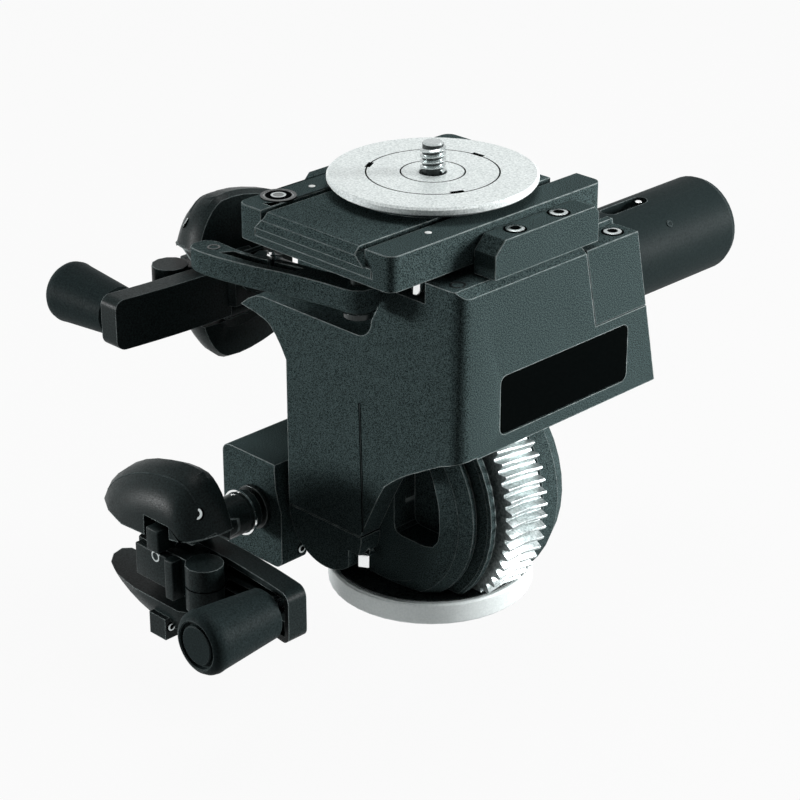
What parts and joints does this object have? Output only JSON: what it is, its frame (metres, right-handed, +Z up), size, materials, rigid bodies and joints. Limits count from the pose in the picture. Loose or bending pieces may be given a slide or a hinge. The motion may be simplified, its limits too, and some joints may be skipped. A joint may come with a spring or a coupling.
{
  "type": "geared tripod head",
  "caption": "Geared tripod head with worm-driven pan, side tilt and front tilt, folding crank knobs, a sliding camera plate and a counterbalance spring tube.",
  "frame": {"origin": "centre of the underside of the base disc, over the tripod screw socket", "axes": "+Z up along the pan axis, -Y the user's side with the pan crank, +Y the side that the platform nods to"},
  "size_m": [0.1956, 0.2828, 0.1884],
  "materials": {
    "powder_coated_casting": "textured",
    "pale_aluminium": "satin",
    "steel_parts": "satin",
    "bright_chrome": "polished",
    "gear_bronze": "satin",
    "black_moulding": "gloss",
    "grip_plastic": "matt",
    "black_plate": "satin",
    "level_glass": "clear"
  },
  "bodies": {
    "base": {"base_disc": "pale_aluminium", "base_plate": "powder_coated_casting", "pan_worm_wheel": "gear_bronze", "pan_spindle": "steel_parts", "pan_retaining_nut": "steel_parts"},
    "turntable": {"turntable": "powder_coated_casting", "side_worm_wheel": "pale_aluminium", "rear_cheek": "powder_coated_casting", "pivot_shaft": "steel_parts", "pan_gear_case": "powder_coated_casting", "pan_case_cover": "powder_coated_casting", "pan_shaft_collar": "bright_chrome"},
    "pan_worm": {"pan_worm": "steel_parts"},
    "pan_crank": {"pan_shaft": "steel_parts", "pan_drive_gear": "steel_parts", "pan_hub": "black_moulding", "pan_crank_arm": "black_moulding", "pan_grip_pin": "steel_parts", "pan_release_key": "black_moulding"},
    "pan_upper_wing": {"pan_upper_wing": "black_moulding"},
    "pan_lower_wing": {"pan_lower_wing": "black_moulding"},
    "pan_grip": {"pan_grip": "grip_plastic"},
    "housing": {"housing": "powder_coated_casting", "leg_foot": "powder_coated_casting", "leg_foot_bolt": "bright_chrome", "hinge_cap": "powder_coated_casting", "cheek_block_right": "powder_coated_casting", "cheek_block_left": "powder_coated_casting", "cheek_screw_right_1": "steel_parts", "cheek_screw_right_2": "steel_parts", "cheek_screw_left_1": "steel_parts", "cheek_screw_left_2": "steel_parts", "label_plate": "black_plate", "platform_stop": "steel_parts", "spring_tube": "powder_coated_casting", "nod_gear_case": "powder_coated_casting", "side_shaft_collar": "bright_chrome"},
    "side_crank": {"side_shaft": "steel_parts", "side_hub": "black_moulding", "side_crank_arm": "black_moulding", "side_grip_pin": "steel_parts", "side_release_key": "black_moulding"},
    "side_upper_wing": {"side_upper_wing": "black_moulding"},
    "side_lower_wing": {"side_lower_wing": "black_moulding"},
    "side_grip": {"side_grip": "grip_plastic"},
    "platform": {"platform": "powder_coated_casting", "nod_shaft": "steel_parts", "nod_worm_wheel": "gear_bronze", "spring_pinion": "steel_parts", "bubble_level": "level_glass", "lock_lever_pin": "steel_parts"},
    "nod_knob": {"nod_worm": "steel_parts", "nod_knob": "black_moulding"},
    "spring_rod": {"spring_rod": "steel_parts", "spring_pointer": "bright_chrome"},
    "slider": {"slider_plate": "powder_coated_casting", "camera_disc": "pale_aluminium"},
    "camera_screw": {"camera_screw": "steel_parts"},
    "lock_lever": {"lock_lever": "powder_coated_casting"}
  },
  "joints": [
    {"name": "pan", "type": "hinge", "parent": "base", "child": "turntable", "pos_m": [0, 0, 0.0185], "axis": [0, 0, 1], "continuous": true},
    {"name": "pan_worm_turn", "type": "hinge", "parent": "turntable", "child": "pan_worm", "pos_m": [-0.03, 0, 0.0185], "axis": [0, 1, 0], "continuous": true},
    {"name": "pan_crank_turn", "type": "hinge", "parent": "turntable", "child": "pan_crank", "pos_m": [-0.056, -0.0405, 0.0246], "axis": [0, 1, 0], "continuous": true},
    {"name": "pan_squeeze", "type": "hinge", "parent": "pan_crank", "child": "pan_upper_wing", "pos_m": [-0.056, -0.0793, 0.033], "axis": [1, 0, 0], "range_deg": [0, 5], "stiffness_Nm_per_rad": 0.4, "springref_deg": -8.59},
    {"name": "pan_squeeze_lower", "type": "hinge", "parent": "pan_crank", "child": "pan_lower_wing", "pos_m": [-0.056, -0.0793, 0.01035], "axis": [-1, 0, 0], "range_deg": [0, 5]},
    {"name": "pan_grip_spin", "type": "hinge", "parent": "pan_crank", "child": "pan_grip", "pos_m": [0.0035, -0.0858, 0.0202], "axis": [0, 1, 0], "continuous": true},
    {"name": "side_tilt", "type": "hinge", "parent": "turntable", "child": "housing", "pos_m": [0, 0, 0.043], "axis": [0, 1, 0], "range_deg": [0, 60]},
    {"name": "side_crank_turn", "type": "hinge", "parent": "housing", "child": "side_crank", "pos_m": [-0.065, 0, 0.10025], "axis": [1, 0, 0], "range_deg": [-2, 3902]},
    {"name": "side_squeeze", "type": "hinge", "parent": "side_crank", "child": "side_upper_wing", "pos_m": [-0.101, 0, 0.10865], "axis": [0, -1, 0], "range_deg": [0, 5], "stiffness_Nm_per_rad": 0.4, "springref_deg": -8.59},
    {"name": "side_squeeze_lower", "type": "hinge", "parent": "side_crank", "child": "side_lower_wing", "pos_m": [-0.101, 0, 0.086], "axis": [0, 1, 0], "range_deg": [0, 5]},
    {"name": "side_grip_spin", "type": "hinge", "parent": "side_crank", "child": "side_grip", "pos_m": [-0.108, -0.0595, 0.09585], "axis": [1, 0, 0], "continuous": true},
    {"name": "front_tilt", "type": "hinge", "parent": "housing", "child": "platform", "pos_m": [0, 0.0495, 0.125], "axis": [-1, 0, 0], "range_deg": [0, 90]},
    {"name": "nod_knob_turn", "type": "hinge", "parent": "housing", "child": "nod_knob", "pos_m": [-0.06, 0.0495, 0.10575], "axis": [0, 1, 0], "range_deg": [-2, 1532]},
    {"name": "spring_travel", "type": "slide", "parent": "housing", "child": "spring_rod", "axis": [0, -1, 0], "range_m": [-0.0001, 0.019]},
    {"name": "slide_plate", "type": "slide", "parent": "platform", "child": "slider", "axis": [0, 1, 0], "range_m": [-0.02, 0.008]},
    {"name": "camera_screw_turn", "type": "hinge", "parent": "slider", "child": "camera_screw", "pos_m": [0, 0, 0.165], "axis": [0, 0, 1], "continuous": true},
    {"name": "lock_lever_turn", "type": "hinge", "parent": "platform", "child": "lock_lever", "pos_m": [0.01, -0.0475, 0.1345], "axis": [0, 0, 1], "range_deg": [0, 25]}
  ],
  "couplings": [
    {"joint": "pan_worm_turn", "follows": "pan", "ratio": -36},
    {"joint": "pan_crank_turn", "follows": "pan", "ratio": 26},
    {"joint": "pan_squeeze_lower", "follows": "pan_squeeze", "ratio": 1},
    {"joint": "side_crank_turn", "follows": "side_tilt", "ratio": 65},
    {"joint": "side_squeeze_lower", "follows": "side_squeeze", "ratio": 1},
    {"joint": "nod_knob_turn", "follows": "front_tilt", "ratio": 17},
    {"joint": "spring_travel", "follows": "front_tilt", "m_per_rad": 0.012}
  ]
}
